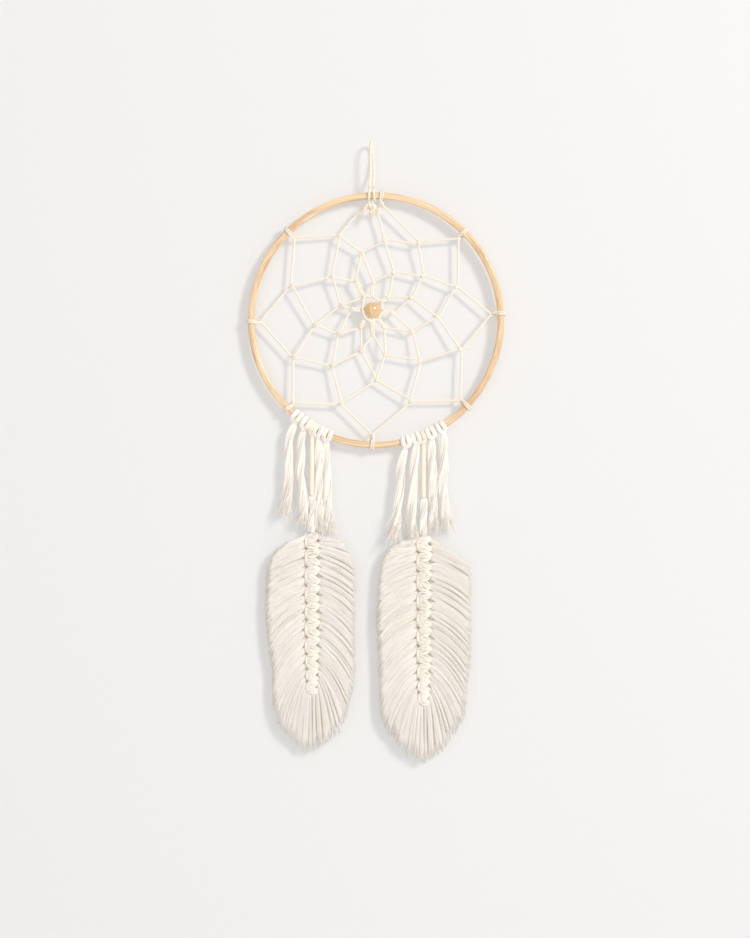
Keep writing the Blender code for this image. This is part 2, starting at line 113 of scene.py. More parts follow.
TAIL_ROOT = 4.7  # mm from the hoop's middle line down to the tail's root, inside the hitch
TAIL_RADII = (0, 0.05, 0.12, 0.35, 0.75, 1), (1.7, 2.5, 3.0, 3.3, 3.5, 3.2)  # shares of the length, mm
TAIL_YARN = 0.40 * MM
BAND_YARN = 0.42 * MM
FRAY_FIBRE = 0.19 * MM
STRANDS = {  # angle on the hoop, and the tail's points (along X, down) in mm from that place
    "left_strand_1": (-129.5, [(-2.0, 6.2), (-5.3, 15.6), (-6.7, 37.3), (-6.0, 51.6), (-9.8, 75.8)]),
    "left_strand_2": (-124.2, [(-2.0, 6.2), (-3.5, 14.0), (-4.6, 32.4), (-3.5, 46.7), (-0.8, 78.8)]),
    "left_strand_3": (-117.8, [(0.6, 6.2), (0.9, 13.3), (0.9, 42.2), (0.9, 60.0), (1.2, 78.5)]),
    "left_strand_4": (-113.0, [(-0.8, 6.2), (-0.8, 14.0), (-0.4, 30.5), (0.4, 52.3), (1.6, 75.8)]),
    "right_strand_1": (-76.1, [(-1.0, 6.2), (-4.1, 22.3), (-5.5, 42.7), (-7.5, 63.0), (-10.4, 76.3)]),
    "right_strand_2": (-71.2, [(-0.2, 6.2), (-1.5, 24.2), (-2.9, 44.5), (-3.4, 64.8), (-2.9, 77.0)]),
    "right_strand_3": (-64.0, [(0.8, 6.2), (1.3, 14.0), (1.3, 27.7), (2.0, 48.0), (1.4, 74.6)]),
    "right_strand_4": (-58.7, [(1.8, 6.2), (2.6, 14.0), (2.3, 32.5), (1.6, 46.2), (4.8, 80.2)]),
}

HANGER_CORD = 3.4 * MM
HANGER_DROP = 7.0 * MM
SPINE_DIAMETER = 3.4 * MM
CORE_SHARE = 0.6  # of a bundle's radius, for the plain core that fills it
NECK_RADII = (0, 0.10, 0.5, 0.85, 1), (2.1, 3.0, 3.3, 3.0, 2.6)  # shares of the length, mm
KNOT_REACH = 2.9 * MM  # of a knot's band, in front of the spine and behind it
KNOT_WIDTH = (0, 6, 9), (11.3, 11.0, 8.4)  # rows, mm
KNOT_YARN = 0.55 * MM
DEEP_SHADE, SHADED = 1.0, 0.8  # tints that paint shade: the full crease shade on the cores seen between yarns, and a lighter painted shade on the knots
ROW_DROPS = (0.0, 13.7, 28.9, 43.6, 57.3, 71.0, 85.0, 97.7, 109.4, 117.3)
FIRST_ROW_SHARE = 0.21
LUMPS = (0.26, 0.76)  # where a row's two lumps lie, as shares of its height at the spine
LUMP_SLOPES = (0.24, -0.10)
COMB_THICKNESS = (0, 0.1, 0.3, 0.75, 1.0), (1.4, 2.2, 2.6, 2.0, 1.2)  # shares of a yarn's length, mm each way
PINCH_END = 0.16  # the share of a combed yarn's length over which it spreads from its lump
# the backing's tint is painted shade: it darkens the middle layer that shows between the front and back yarns
BACKING_FATNESS, BACKING_LENGTH, BACKING_SHADE_TINT = 2.9, 0.93, 0.9
FEATHERS = {
    "left": {
        "angle": -120.95, "hanger_end": -275.0, "first_knot": -309.2, "stretch": 0.972,
        "left_edge": [(3, -4), (19, 2), (31, 12), (36, 24), (36.6, 48), (36, 66), (34, 86), (31, 104),
                      (30.5, 132), (26, 145), (16, 156), (8, 163), (0, 165)],
        "right_edge": [(3, -4), (16, -1), (25, 3), (31, 11), (34, 22), (34.5, 43), (33.5, 70), (34, 100),
                       (32, 117), (27, 137), (23, 147), (14, 158), (0, 165)],
    },
    "right": {
        "angle": -67.6, "hanger_end": -276.6, "first_knot": -311.6, "stretch": 1.028,
        "left_edge": [(3, -4), (18, -1), (28, 5), (34.5, 18), (36.4, 38), (37.4, 62), (35.6, 90), (34.5, 116),
                      (34, 133), (28.5, 148), (17, 161), (6, 170), (0, 171)],
        "right_edge": [(3, -4), (16, 4), (29, 13), (37, 20), (37.6, 34), (37.4, 60), (37, 80), (36.8, 96),
                       (34, 115), (32, 137), (23, 150), (13, 164), (0, 171)],
    },
}

WALL_SIZE = 8
FLOOR_LEVEL = -1.3
CAMERA_PLACE = (3.1 * MM, -1.425, -0.254)
CAMERA_LENS = 70
LAMP_COLOUR = (1.0, 0.955, 0.88)
SKY_COLOUR = (0.955, 0.95, 1.0, 1)
GLOW_COLOUR = (0.985, 0.985, 0.98, 1)


# ---------------------------------------------------------------- settings

def colour(name, description, default):
    return FloatVectorProperty(name=name, description=description, subtype="COLOR", size=3, min=0, max=1,
                               default=default)


class WoodSettings(bpy.types.PropertyGroup):
    hoop_light: colour("Hoop light", "Early wood of the hoop", (0.97, 0.77, 0.51))
    hoop_dark: colour("Hoop dark", "Late wood and pores of the hoop", (0.55, 0.30, 0.13))
    bead_light: colour("Bead light", "Early wood of the bead", (0.92, 0.63, 0.28))
    bead_dark: colour("Bead dark", "Late wood of the bead", (0.55, 0.29, 0.09))
    hoop_edge: FloatProperty(name="Hoop edge", description="Radius of the hoop's rounded edges",
                             default=1.5 * MM, unit="LENGTH")


class CottonSettings(bpy.types.PropertyGroup):
    web: colour("Web", "Waxed web cord", (0.93, 0.85, 0.74))
    fringe: colour("Fringe", "Loose cotton of the strands", (0.99, 0.987, 0.968))
    feather: colour("Feather", "Combed cotton of the feathers", (0.985, 0.992, 0.985))
    hanger: colour("Hanger", "Smooth cord of the loop and hangers", (0.95, 0.85, 0.71))
    # painted shade: this colour is the warm tan that stands for shade deep between yarns, and the cotton finishes
    # also glow faintly in it as painted light
    crease_shade: colour("Crease shade", "Cotton seen deep between yarns", (0.79, 0.685, 0.55))
    web_cord: FloatProperty(name="Web cord", description="Thickness of the web's cord",
                            default=1.8 * MM, unit="LENGTH")


class CombedSettings(bpy.types.PropertyGroup):
    yarns_per_mm: FloatProperty(name="Yarns per mm", description="Combed yarns along a feather's edge",
                                default=15.0, min=2)
    yarn_radius: FloatProperty(name="Yarn radius", description="Of a combed yarn at its middle",
                               default=0.20 * MM, unit="LENGTH")
    tail_yarns: IntProperty(name="Tail yarns", description="Yarns in one strand of the fringe", default=42)


class StageSettings(bpy.types.PropertyGroup):
    wall: colour("Wall", "Painted wall behind", (0.555, 0.553, 0.548))
    wall_glow: FloatProperty(name="Wall glow", description="Light given off by the wall, which keeps shadows pale",
                             default=0.30)
    wall_gap: FloatProperty(name="Wall gap", description="From the hoop's middle to the wall",
                            default=8.0 * MM, unit="LENGTH")
    key_power: FloatProperty(name="Key", description="Power of the soft light at the upper right",
                             default=60.0, unit="POWER")
    fill: FloatProperty(name="Fill", description="Strength of the light from all around", default=0.60)


class DreamCatcherSettings(bpy.types.PropertyGroup):
    wood: PointerProperty(type=WoodSettings)
    cotton: PointerProperty(type=CottonSettings)
    combed: PointerProperty(type=CombedSettings)
    stage: PointerProperty(type=StageSettings)


# ---------------------------------------------------------------- lines

def unit(v):
    return v / np.linalg.norm(v, axis=-1, keepdims=True)


def in_mm(points):
    return np.array(points, float) * MM


def arc(turn, first, second):
    """Directions at the angles in turn, from first round to second."""
    return np.cos(turn)[..., None] * first + np.sin(turn)[..., None] * second


def carried(lines):
    """Directions along a set of lines and two across them, carried along without a twist."""
    along = unit(np.gradient(lines, axis=1))
    across = np.empty_like(lines)
    first = np.cross(along[:, 0], (0.0, 1.0, 0.0))
    weak = np.linalg.norm(first, axis=1) < 0.1
    first[weak] = np.cross(along[weak, 0], (1.0, 0.0, 0.0))
    across[:, 0] = unit(first)
    for i in range(1, lines.shape[1]):
        last = across[:, i - 1]
        across[:, i] = unit(last - (last * along[:, i]).sum(1, keepdims=True) * along[:, i])
    return along, across, np.cross(along, across)


def run_lengths(line):
    steps = np.linalg.norm(np.diff(line, axis=-2), axis=-1)
    return np.concatenate([np.zeros((*steps.shape[:-1], 1)), np.cumsum(steps, axis=-1)], axis=-1)


def evenly(line, count):
    """The same line with evenly spaced points."""
    line = np.asarray(line, float)
    run = run_lengths(line)
    at = np.linspace(0, run[-1], count)
    return np.stack([np.interp(at, run, line[:, i]) for i in range(3)], axis=1)


def through(points, count):
    """A smooth curve through points (Catmull-Rom), evenly spaced."""
    p = np.asarray(points, float)
    ends = np.vstack([2 * p[0] - p[1], p, 2 * p[-1] - p[-2]])
    found = []
    t = np.linspace(0, 1, 12, endpoint=False)[:, None]
    for a, b, c, d in zip(ends, ends[1:], ends[2:], ends[3:]):
        found.append(b + ((c - a) * t + (2 * a - 5 * b + 4 * c - d) * t**2 + (3 * b - a - 3 * c + d) * t**3) / 2)
    return evenly(np.vstack([*found, p[-1:]]), count)


def bend(before, corner, after, radius, steps=7):
    """A round bend that turns from one leg to the other and just reaches the corner."""
    to_before, to_after = unit(before - corner), unit(after - corner)
    inwards = unit(to_before + to_after)
    half = math.acos(np.clip(to_before @ to_after, -1, 1)) / 2
    side = unit(to_after - to_before)
    centre = corner + inwards * radius
    turn = np.linspace(-1, 1, steps)[:, None] * (math.pi / 2 - half)
    return list(centre + radius * (side * np.sin(turn) - inwards * np.cos(turn)))


def on_hoop(angle_deg):
    """A point on the hoop's middle line, the direction to the hoop's centre, and the clockwise direction."""
    a = math.radians(angle_deg)
    out = np.array((math.cos(a), 0, math.sin(a)))
    return HOOP_CENTRE + HOOP_RADIUS * out, -out, np.array((math.sin(a), 0, -math.cos(a)))


def bundle(line, radius, count, turns, rng, flat=(1.0, 1.0), wander=0.12):
    """The lines of a bundle's yarns round its middle line."""
    _, across, other = (d[0] for d in carried(line[None]))
    share = np.linspace(0, 1, len(line))
    rank = np.arange(count)
    depth = np.where(rank % 4 == 3, 0.5, 0.86) * rng.uniform(0.94, 1.06, count)
    phase = rank * math.tau / count + rng.normal(0, 0.12, count)
    drift = wander * np.sin(math.tau * (rng.uniform(0.5, 1.6, count)[:, None] * share + rng.random((count, 1))))
    angle = phase[:, None] + math.tau * turns * share + 2 * drift
    reach = depth[:, None] * radius * (1 + 0.5 * drift)
    return line + reach[..., None] * (np.cos(angle)[..., None] * across * flat[0]
                                      + np.sin(angle)[..., None] * other * flat[1])


class Cotton:
    def __init__(self, seed):
        self.rng = np.random.default_rng(seed)
        self.points, self.corners, self.starts, self.uvs, self.tints = [], [], [], [], []
        self.size = 0

    def add(self, lines, radii, sides=4, lobes=0, lobe_depth=0.0, pitch=None, tint=None):
        lines = np.asarray(lines, float)
        lines = lines[None] if lines.ndim == 2 else lines
        m, n, _ = lines.shape
        radii = np.broadcast_to(np.asarray(radii, float), (m, n))
        _, across, other = carried(lines)
        length = run_lengths(lines)
        turn = np.arange(sides) * math.tau / sides
        angle = turn + (math.tau * length / pitch if pitch else 0 * length)[..., None]
        reach = radii[..., None] * (1 + lobe_depth * np.cos(lobes * turn))
        rings = lines[:, :, None] + reach[..., None] * (
            np.cos(angle)[..., None] * across[:, :, None] + np.sin(angle)[..., None] * other[:, :, None])
        index = self.size + np.arange(m * n * sides).reshape(m, n, sides)
        after = np.roll(index, -1, axis=2)
        quads = np.stack([index[:, :-1], after[:, :-1], after[:, 1:], index[:, 1:]], axis=-1)
        near, far = (np.broadcast_to(along[..., None], quads.shape[:3]) for along in (length[:, :-1], length[:, 1:]))
        low = np.broadcast_to(np.arange(sides) / sides, quads.shape[:3])
        high = low + 1 / sides
        quad_uv = np.stack([np.stack(c, axis=-1) for c in ((near, low), (near, high), (far, high), (far, low))],
                           axis=-2)
        caps = np.concatenate([index[:, 0, ::-1], index[:, -1]])
        cap_uv = np.zeros((*caps.shape, 2))
        self.points.append(rings.reshape(-1, 3))
        self.corners += [quads.reshape(-1), caps.reshape(-1)]
        self.starts += [np.full(quads.size // 4, 4), np.full(len(caps), sides)]
        self.uvs += [quad_uv.reshape(-1, 2), cap_uv.reshape(-1, 2)]
        tints = self.rng.random(m) if tint is None else np.full(m, tint)
        self.tints.append(np.repeat(tints, n * sides))
        self.size += m * n * sides

    def finish(self, name, finish, body, slot, *nodes):
        mesh = bpy.data.meshes.new(name)
        corners, sizes = np.concatenate(self.corners), np.concatenate(self.starts)
        mesh.vertices.add(self.size)
        mesh.vertices.foreach_set("co", np.concatenate(self.points).astype(np.float32).ravel())
        mesh.loops.add(len(corners))
        mesh.loops.foreach_set("vertex_index", corners.astype(np.int32))
        mesh.polygons.add(len(sizes))
        mesh.polygons.foreach_set("loop_start", (np.cumsum(sizes) - sizes).astype(np.int32))
        mesh.update(calc_edges=True)
        mesh.uv_layers.new(name="lay").data.foreach_set(
            "uv", np.concatenate(self.uvs).astype(np.float32).ravel())
        tint = mesh.attributes.new("tint", "FLOAT", "POINT")
        tint.data.foreach_set("value", np.concatenate(self.tints).astype(np.float32))
        mesh.shade_smooth()
        obj = bpy.data.objects.new(name, mesh)
        bpy.context.scene.collection.objects.link(obj)
        mesh.materials.append(finish)
        return joined_to(obj, body, slot, *nodes)


# ---------------------------------------------------------------- finishes

def group(name, inputs, outputs):
    """A new shader node group with named sockets, and its two ends. An input's default tells its kind: none for a
    vector, four numbers for a colour, one for a float."""
    tree = bpy.data.node_groups.new(name, "ShaderNodeTree")
    for socket, value in inputs.items():
        kind = "Vector" if value is None else "Color" if isinstance(value, tuple) else "Float"
        made = tree.interface.new_socket(socket, in_out="INPUT", socket_type=f"NodeSocket{kind}")
        if value is not None:
            made.default_value = value
    for socket, kind in outputs.items():
        tree.interface.new_socket(socket, in_out="OUTPUT", socket_type=f"NodeSocket{kind}")
    return tree, tree.nodes.new("NodeGroupInput"), tree.nodes.new("NodeGroupOutput")


def fed(tree, node, inputs):
    """Links a node's inputs to other nodes' outputs, or sets them to plain values."""
    for name, value in inputs.items():
        if isinstance(value, bpy.types.NodeSocket):
            tree.links.new(value, node.inputs[name])
        else:
            node.inputs[name].default_value = value
    return node


def maths(tree, operation, *values, clamp=False):
    node = tree.nodes.new("ShaderNodeMath")
    node.operation, node.use_clamp = operation, clamp
    return fed(tree, node, dict(enumerate(values))).outputs[0]


def mixed(tree, share, a, b):
    node = tree.nodes.new("ShaderNodeMix")
    node.data_type = "RGBA"
    return fed(tree, node, {0: share, 6: a, 7: b}).outputs[2]


def noise(tree, vector, scale, detail):
    node = tree.nodes.new("ShaderNodeTexNoise")
    return fed(tree, node, {"Scale": scale, "Detail": detail, "Vector": vector}).outputs["Fac"]


def ranged(tree, value, low, high):
    node = tree.nodes.new("ShaderNodeMapRange")
    return fed(tree, node, {"From Min": low, "From Max": high, "Value": value}).outputs["Result"]


def fibre_streaks():
    """Streaks along a yarn's or cord's length, with a tint for each. The dark streaks are painted shade between
    fibres; a random tint tones a few yarns darker, and a tint near one paints a whole yarn in the crease shade.
    """
    tree, start, end = group("fibre_streaks", {
        "Lay": None, "Tint": 0.5, "Cotton": (1, 1, 1, 1), "Crease shade": (0.5, 0.4, 0.3, 1), "Per metre": 120.0,
        "Round": 6.0, "Strength": 0.3}, {"Colour": "Color", "Height": "Float"})
    given = start.outputs
    split = fed(tree, tree.nodes.new("ShaderNodeSeparateXYZ"), {0: given["Lay"]})
    joined = fed(tree, tree.nodes.new("ShaderNodeCombineXYZ"), {
        0: maths(tree, "MULTIPLY", split.outputs[0], given["Per metre"]),
        1: maths(tree, "MULTIPLY", split.outputs[1], given["Round"]),
        2: maths(tree, "MULTIPLY", given["Tint"], 37.0)})
    streak = noise(tree, joined.outputs[0], 1.0, 3.0)
    # painted shade: where the streak noise is low the colour goes toward the crease shade, as in the gaps between
    # fibres
    deep = ranged(tree, streak, 0.62, 0.25)
    # a tint near one (cores, knots, backing) paints shade; a random tint only gives a few darker yarns
    tinted = maths(tree, "MULTIPLY", maths(tree, "POWER", given["Tint"], 5.0), 1.3)
    share = maths(tree, "MULTIPLY", maths(tree, "ADD", deep, tinted), given["Strength"], clamp=True)
    fed(tree, end, {"Colour": mixed(tree, share, given["Cotton"], given["Crease shade"]), "Height": streak})


def soft_mottle():
    """Broad, faint changes of colour over a piece, in the object's own coordinates."""
    tree, start, end = group("soft_mottle", {"Base": (1, 1, 1, 1), "Other": (0.8, 0.7, 0.6, 1), "Amount": 0.2},
                             {"Colour": "Color"})
    given = start.outputs
    place = tree.nodes.new("ShaderNodeTexCoord")
    spots = ranged(tree, noise(tree, place.outputs["Object"], 90.0, 2.0), 0.35, 0.75)
    share = maths(tree, "MULTIPLY", spots, given["Amount"])
    fed(tree, end, {"Colour": mixed(tree, share, given["Base"], given["Other"])})


def wood_grain():
    """Growth streaks and fine pores. The grain runs along the input's slow direction."""
    tree, start, end = group("wood_grain", {
        "Grain": None, "Light": (0.8, 0.5, 0.3, 1), "Dark": (0.4, 0.2, 0.1, 1), "Contrast": 0.6},
        {"Colour": "Color", "Roughness": "Float", "Height": "Float"})
    given = start.outputs
    broad = ranged(tree, noise(tree, given["Grain"], 420.0, 2.0), 0.35, 0.70)
    fine = ranged(tree, noise(tree, given["Grain"], 1900.0, 4.0), 0.42, 0.72)
    both = maths(tree, "ADD", maths(tree, "MULTIPLY", broad, 0.55), maths(tree, "MULTIPLY", fine, 0.5))
    share = maths(tree, "MULTIPLY", both, given["Contrast"], clamp=True)
    fed(tree, end, {
        "Colour": mixed(tree, share, given["Light"], given["Dark"]),
        "Roughness": maths(tree, "MULTIPLY_ADD", fine, 0.2, 0.38), "Height": maths(tree, "SUBTRACT", 1.0, fine)})


def placed_group(tree, name, inputs):
    node = tree.nodes.new("ShaderNodeGroup")
    node.node_tree = bpy.data.node_groups[name]
    return fed(tree, node, inputs)


def new_finish(name):
    made = bpy.data.materials.new(name)
    made.use_nodes = True
    return made, made.node_tree, made.node_tree.nodes["Principled BSDF"]


def bumped(tree, height, distance, strength):
    node = tree.nodes.new("ShaderNodeBump")
    return fed(tree, node, {"Distance": distance, "Strength": strength, "Height": height}).outputs["Normal"]


def cotton_finish(name, base, crease_shade, strength, per_metre, round_count, roughness, sheen, depth):
    """Cotton yarn or cord: streaks along its lay, a tint for each yarn and a faint mottle over the piece. The streaks
    and tints paint shade in the crease colour, and the cotton glows faintly in that colour as painted light.
    """
    made, tree, shader = new_finish(name)
    lay = tree.nodes.new("ShaderNodeUVMap")
    lay.uv_map = "lay"
    tint = tree.nodes.new("ShaderNodeAttribute")
    tint.attribute_name = "tint"
    base, crease_shade = (*base, 1), (*crease_shade, 1)
    mottle = placed_group(tree, "soft_mottle", {"Base": base, "Other": crease_shade, "Amount": 0.05})
    streaks = placed_group(tree, "fibre_streaks", {
        "Crease shade": crease_shade, "Strength": strength, "Per metre": per_metre, "Round": round_count,
        "Lay": lay.outputs["UV"], "Tint": tint.outputs["Fac"], "Cotton": mottle.outputs["Colour"]})
    fed(tree, shader, {
        "Base Color": streaks.outputs["Colour"], "Normal": bumped(tree, streaks.outputs["Height"], depth, 0.6),
        "Roughness": roughness, "Sheen Weight": sheen, "Sheen Roughness": 0.4,
        # painted light: a faint glow in the crease shade colour brightens all the cotton
        "Emission Color": crease_shade, "Emission Strength": 0.10})
    made.diffuse_color = base
    return made


def wood_finish(name, light, dark, contrast, coat, grain_from):
    """Wood with its grain, and a varnish as thick as coat says."""
    made, tree, shader = new_finish(name)
    grain = placed_group(tree, "wood_grain", {
        "Light": (*light, 1), "Dark": (*dark, 1), "Contrast": contrast, "Grain": grain_from(tree)})
    fed(tree, shader, {
        "Base Color": grain.outputs["Colour"], "Roughness": grain.outputs["Roughness"],
        "Normal": bumped(tree, grain.outputs["Height"], 0.05 * MM, 0.4),
        "Coat Weight": coat, "Coat Roughness": 0.04, "Coat IOR": 2.2})
    made.diffuse_color = (*light, 1)
    return made


def hoop_grain(tree):
    """The grain written on the hoop's own points, which follows the ring round."""
    node = tree.nodes.new("ShaderNodeAttribute")
    node.attribute_name = "grain"
    return node.outputs["Vector"]


def bead_grain(tree):
    """Object coordinates centred on the bead and drawn out along its bore."""
    place = tree.nodes.new("ShaderNodeTexCoord")
    node = tree.nodes.new("ShaderNodeMapping")
    node.vector_type = "POINT"
    stretch = np.array((1.0, 1.0, 0.16))
    return fed(tree, node, {"Scale": stretch, "Location": -stretch * BEAD_CENTRE,
                            "Vector": place.outputs["Object"]}).outputs["Vector"]


# ---------------------------------------------------------------- pieces

def deselect():
    for o in list(bpy.context.selected_objects):
        o.select_set(False)


def at_origin(obj, name, finish):
    """Puts the place of a finished primitive into its mesh, and gives it its name and finish."""
    deselect()
    obj.select_set(True)
    bpy.context.view_layer.objects.active = obj
    bpy.ops.object.transform_apply(location=True, rotation=True, scale=True)
    obj.name = obj.data.name = name
    obj.data.materials.clear()
    obj.data.materials.append(finish)
    return obj


def joined_to(obj, body, slot, *nodes):
    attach(obj, body)
    if nodes:
        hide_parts(*nodes)
    return obj


def select_all(action="SELECT"):
    bpy.ops.mesh.select_all(action=action)


def select_faces(mesh, test):
    """Selects a mesh's faces by the place of their middle, in edit mode's face select."""
    bpy.ops.object.mode_set(mode="OBJECT")
    for face in mesh.polygons:
        face.select = test(face.center)
    bpy.ops.object.mode_set(mode="EDIT")


def make_hoop(settings, finish):
    """The bent ring: a rounded section spun round the hoop's middle."""
    deselect()
    side = HOOP_CENTRE + np.array((HOOP_RADIUS, 0, 0))
    bpy.ops.mesh.primitive_plane_add(size=1, location=side)
    obj = bpy.context.object
    bpy.ops.object.mode_set(mode="EDIT")
    bpy.ops.mesh.select_mode(type="VERT")
    bpy.ops.transform.resize(value=(HOOP_WIDTH, HOOP_DEPTH, 1))
    bpy.ops.mesh.bevel(offset=settings.hoop_edge, segments=5, affect="VERTICES")
    select_all()
    bpy.ops.mesh.delete(type="ONLY_FACE")
    select_all()
    bpy.ops.mesh.subdivide(number_cuts=1)
    select_all()
    bpy.ops.mesh.spin(steps=200, angle=math.tau, use_auto_merge=True, center=HOOP_CENTRE, axis=(0, 1, 0))
    select_all()
    bpy.ops.mesh.remove_doubles(threshold=0.01 * MM)
    bpy.ops.mesh.normals_make_consistent(inside=False)
    bpy.ops.object.mode_set(mode="OBJECT")
    obj = at_origin(obj, "bent_hoop", finish)
    bpy.ops.object.shade_smooth_by_angle(angle=math.radians(50))
    co = np.array([v.co for v in obj.data.vertices]) - HOOP_CENTRE
    turn = np.arctan2(co[:, 2], co[:, 0])
    out = np.hypot(co[:, 0], co[:, 2]) - HOOP_RADIUS
    slow = 5 * MM
    grain = np.stack([out + slow * np.cos(turn), co[:, 1] + slow * np.sin(turn), 0.4 * slow * np.cos(2 * turn)],
                     axis=1)
    made = obj.data.attributes.new("grain", "FLOAT_VECTOR", "POINT")
    made.data.foreach_set("vector", grain.astype(np.float32).ravel())
    joined_to(obj, "hoop", "hoop_wood", "hoop")


def make_bead(finish):
    """A turned round bead: a ball with a bored hole whose rims are eased."""
    deselect()
    bpy.ops.mesh.primitive_uv_sphere_add(segments=48, ring_count=36, radius=BEAD_DIAMETER / 2,
                                         location=BEAD_CENTRE)
    obj = bpy.context.object
    bpy.ops.object.mode_set(mode="EDIT")
    bpy.ops.mesh.select_mode(type="FACE")
    rim = math.sqrt((BEAD_DIAMETER / 2) ** 2 - (BEAD_BORE / 2) ** 2)
    select_all("DESELECT")
    select_faces(obj.data, lambda c: abs(c.z) > rim)
    bpy.ops.mesh.delete(type="FACE")
    bpy.ops.mesh.select_mode(type="EDGE")
    select_all("DESELECT")
    bpy.ops.mesh.select_non_manifold(extend=False)
    bpy.ops.mesh.bridge_edge_loops(number_cuts=2)
    select_all()
    bpy.ops.mesh.normals_make_consistent(inside=False)
    bpy.ops.object.mode_set(mode="OBJECT")
    obj = at_origin(obj, "varnished_bead", finish)
    ease = obj.modifiers.new("eased_rim", "BEVEL")
    ease.width, ease.segments, ease.limit_method, ease.angle_limit = 0.25 * MM, 3, "ANGLE", math.radians(50)
    bpy.ops.object.modifier_apply(modifier=ease.name)
    bpy.ops.object.shade_smooth_by_angle(angle=math.radians(40))
    joined_to(obj, "bead", "bead_wood", "centre_bead")


def hoop_wrap(angle_deg, inside):
    """The web cord from the meeting point inside the hoop, twice over the hoop's front, and back."""
    place, inwards, clockwise = on_hoop(angle_deg)
    turn = np.radians(np.arange(50, 671, 15))
    along = WRAP_SPREAD * (np.linspace(0, 1, len(turn)) - 0.5)
    ring = place + WRAP_RADIUS * arc(turn, inwards, FRONT) + along[:, None] * clockwise
    meeting, leg = place + inwards * inside, 0.55 * MM * clockwise
    return [meeting - leg, *ring, meeting + leg]


def web_lines():
    """The web cord's whole line, and where its hitches tie, as (place, direction outwards)."""

    def at(xz, layer):
        return HOOP_CENTRE + np.array((xz[0] * MM, layer * WEB_LAYER, xz[1] * MM))

    route, ties = [], []
    wraps = [hoop_wrap(angle, inside * MM) for angle, inside in HOOP_HITCHES]
    turned, start = at(WEB_TURN, -1), at(WEB_START, 0)
    for wrap, after, pulled in zip(wraps, [*wraps[1:], [turned]], WEB_ROUNDS[0]):
        route += [*wrap, *bend(wrap[-1], at(pulled, 1), after[0], WEB_BEND)]
    route += bend(at(WEB_ROUNDS[0][-1], 1), turned, start, WEB_BEND)
    corners = [(turned, 0), (start, WEB_BEND)]
    ties += [(start + UP * rise * MM, UP) for rise in (1.2, 2.6, 4.0)]
    middle = BEAD_CENTRE * (1, 0, 1)
    for outer, inner in zip(WEB_ROUNDS, WEB_ROUNDS[1:-1]):
        for pulled, hitch in zip(inner, outer):
            tip = at(hitch, -1)
            outwards = unit((tip - middle) * (1, 0, 1))
            side = np.cross(outwards, FRONT) * HITCH_BEND
            foot = tip - outwards * HITCH_RUN
            corners += [(at(pulled, 1), WEB_BEND),
                        (foot - side, HITCH_BEND), (tip, HITCH_BEND), (foot + side, HITCH_BEND)]
            ties.append((tip - outwards * HITCH_RUN * 0.55, outwards))
    for spoke, hitch in zip(BEAD_RING, WEB_ROUNDS[-2]):
        foot, tip = at(spoke, -1.2), at(hitch, -1)
        outwards = unit(tip - foot)
        side = np.cross(outwards, FRONT) * SPOKE_SIDE
        corners += [(foot - side, HITCH_BEND), (tip, HITCH_BEND), (foot + side, HITCH_BEND)]
        ties.append((tip - outwards * 1.6 * MM, outwards))
    corners.append((at(BEAD_RING[0], -2.6), WEB_BEND))
    under = BEAD_CENTRE - UP * (BEAD_DIAMETER / 2 + 2.6 * MM)
    above = BEAD_CENTRE + UP * (BEAD_DIAMETER / 2 + 1.5 * MM)
    corners += [(at((-10.7, 8), -2.8), WEB_BEND), (at((-8.2, 1.4), -2.5), WEB_BEND), (under, WEB_BEND), (above, 0)]
    for (before, _), (corner, radius), (after, _) in zip(corners, corners[1:], corners[2:]):
        route += bend(before, corner, after, radius)
    return np.array([*route, above]), ties


def make_web(settings, finish):
    """The web's twisted cord, and the small turn with which it ties round itself at each hitch."""
    line, ties = web_lines()
    cotton = Cotton(11)
    count = int(run_lengths(line)[-1] / WEB_POINT_GAP)
    cotton.add(evenly(line, count), settings.web_cord / 2, sides=8, lobes=2, lobe_depth=0.12, pitch=WEB_PITCH)
    cotton.finish("web_twisted_cord", finish, "hoop", "web_cotton", "web_cord")
    turns = Cotton(12)
    angle = np.linspace(0, math.tau * TIE_TURNS, 22)
    climb = (angle[:, None] / math.tau - TIE_TURNS / 2) * MM
    for tie, outwards in ties:
        ring = arc(angle, 0.86 * np.cross(outwards, FRONT), 0.72 * FRONT)
        turns.add(tie + settings.web_cord * ring + outwards * climb, settings.web_cord * 0.32, sides=6)
    turns.finish("web_hitch_turns", finish, "hoop", "web_cotton")


def loop_points():
    low = HOOP_CENTRE[2] + HOOP_RADIUS + HITCH_RISE + GAP
    half, front = LOOP_SPREAD / 2, -HITCH_RADIUS
    over = in_mm([(-0.9, -4.8, -24), (-0.8, -5.2, -13), (-0.7, -4.9, -5), (-0.4, -3.2, -0.2), (0, 0, 1.05),
                  (0.4, 3.2, -0.2), (0.9, 4.9, -5), (1.4, 4.2, -13), (1.8, 0.6, -24)])
    return np.array([(-half, front, low), (-half, front, low + 5 * MM), *over,
                     (half, front + 0.6 * MM, low + 5 * MM), (half, front, low)]) + (LOOP_X, 0, 0)


